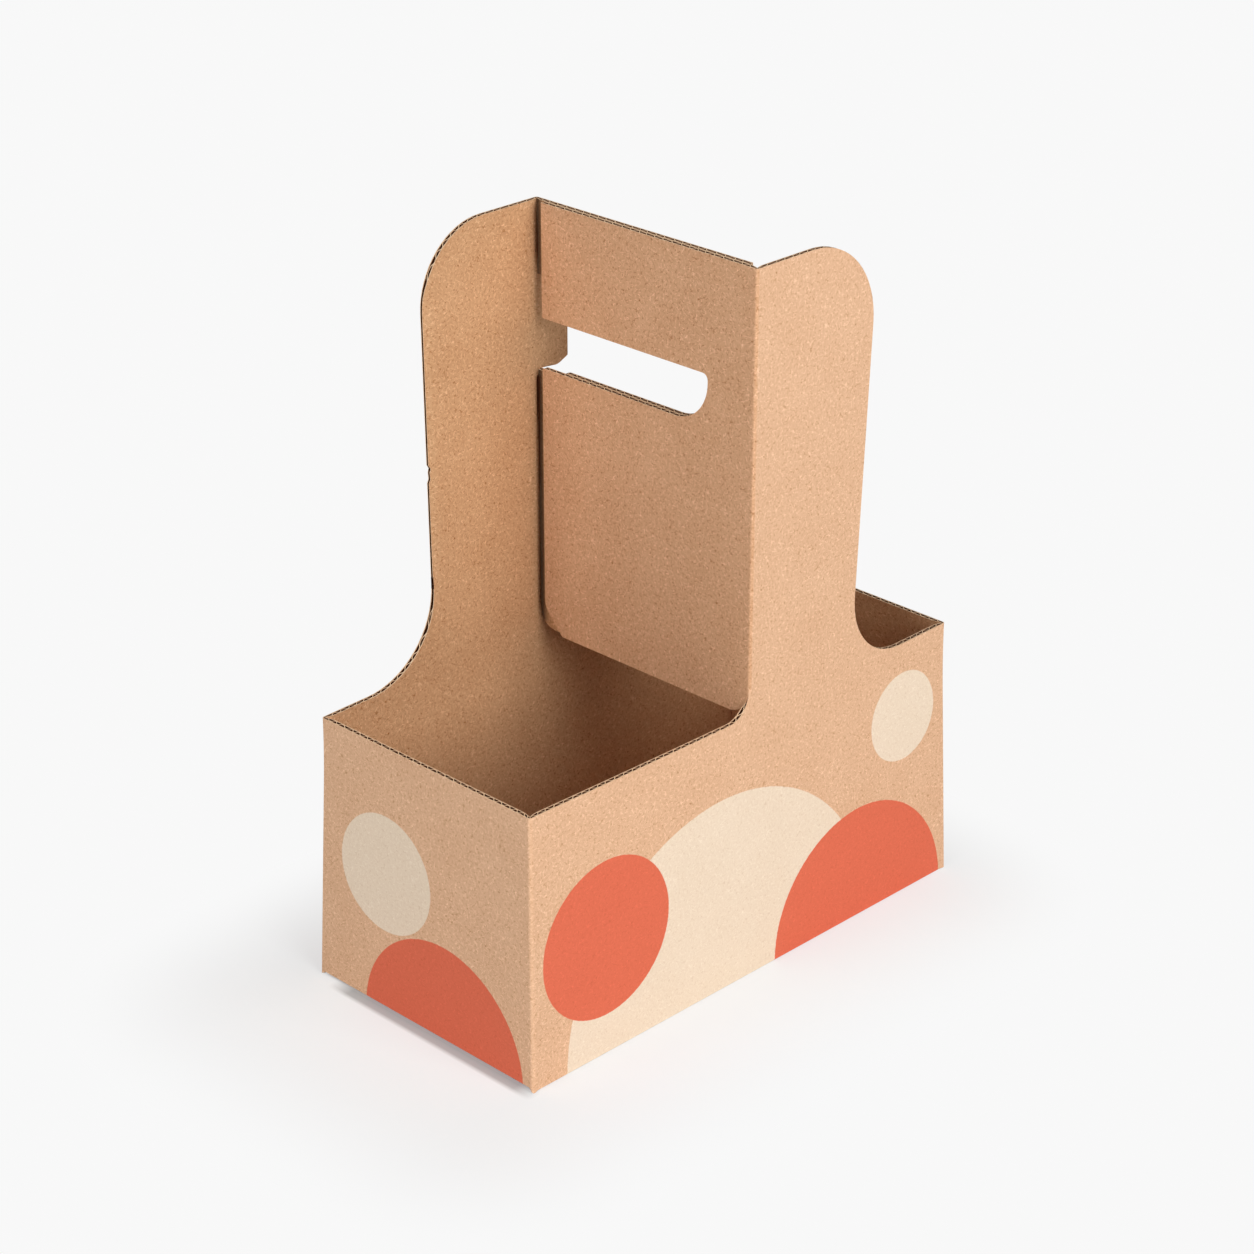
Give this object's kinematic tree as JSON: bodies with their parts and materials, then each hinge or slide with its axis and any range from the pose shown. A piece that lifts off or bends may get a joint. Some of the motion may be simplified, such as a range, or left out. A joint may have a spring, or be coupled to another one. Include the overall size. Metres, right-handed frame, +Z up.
{
  "type": "cardboard cup carrier",
  "caption": "Open-top corrugated board carrier for drinks cups, with towers whose folded flaps make a middle handle with a hand hole.",
  "frame": {"origin": "middle of the box's underside, on the surface that it stands on", "axes": "+Z up; +X along the long walls, towards the front tower's side; -Y out of the printed front wall, from which the front tower rises"},
  "size_m": [0.1838, 0.0928, 0.224],
  "materials": {
    "kraft_board": "matte"
  },
  "bodies": {
    "root": {"cup_carrier": "kraft_board"}
  },
  "joints": []
}
